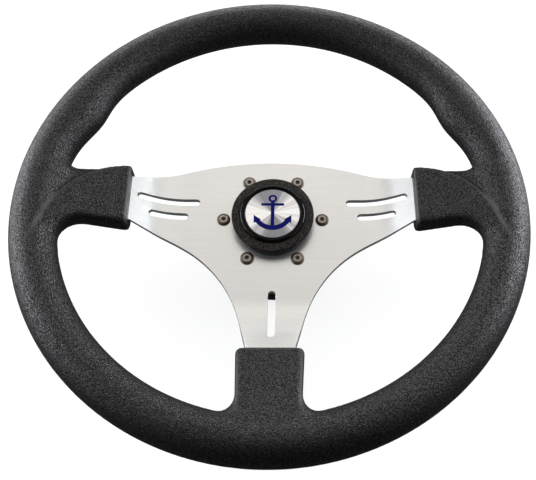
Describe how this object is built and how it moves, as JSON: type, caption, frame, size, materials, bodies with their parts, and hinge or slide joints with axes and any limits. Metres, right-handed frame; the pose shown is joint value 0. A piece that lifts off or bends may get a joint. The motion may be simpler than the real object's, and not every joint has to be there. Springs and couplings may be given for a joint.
{
  "type": "boat steering wheel",
  "caption": "Boat steering wheel with a round padded rim with thumb swells, a bent slotted spoke plate, a capped centre and a deep hub for a tapered helm shaft.",
  "frame": {"origin": "centre of the hub's back face, on the wheel's axis", "axes": "+X right and +Y to twelve o'clock as the helmsman sees the wheel, +Z out of the face along the wheel's axis"},
  "size_m": [0.35, 0.3499, 0.0993],
  "materials": {
    "grip_moulding": "fine leather grain, satin",
    "hoop_steel": "plain",
    "brushed_aluminium": "brushed across the wheel",
    "hub_black": "matt moulded",
    "stainless": "polished",
    "cap_black": "fine spark texture",
    "cap_matt": "spark texture",
    "cap_gloss": "gloss",
    "spun_metal": "spun, with a printed blue anchor"
  },
  "bodies": {
    "root": {"grip": "grip_moulding", "rim_hoop": "hoop_steel", "spoke_plate": "brushed_aluminium", "hub": "hub_black", "hub_screws": "stainless", "cap_base": "cap_black", "cap_ring": "cap_matt", "cap_bezel": "cap_gloss", "emblem_disc": "spun_metal"}
  },
  "joints": []
}
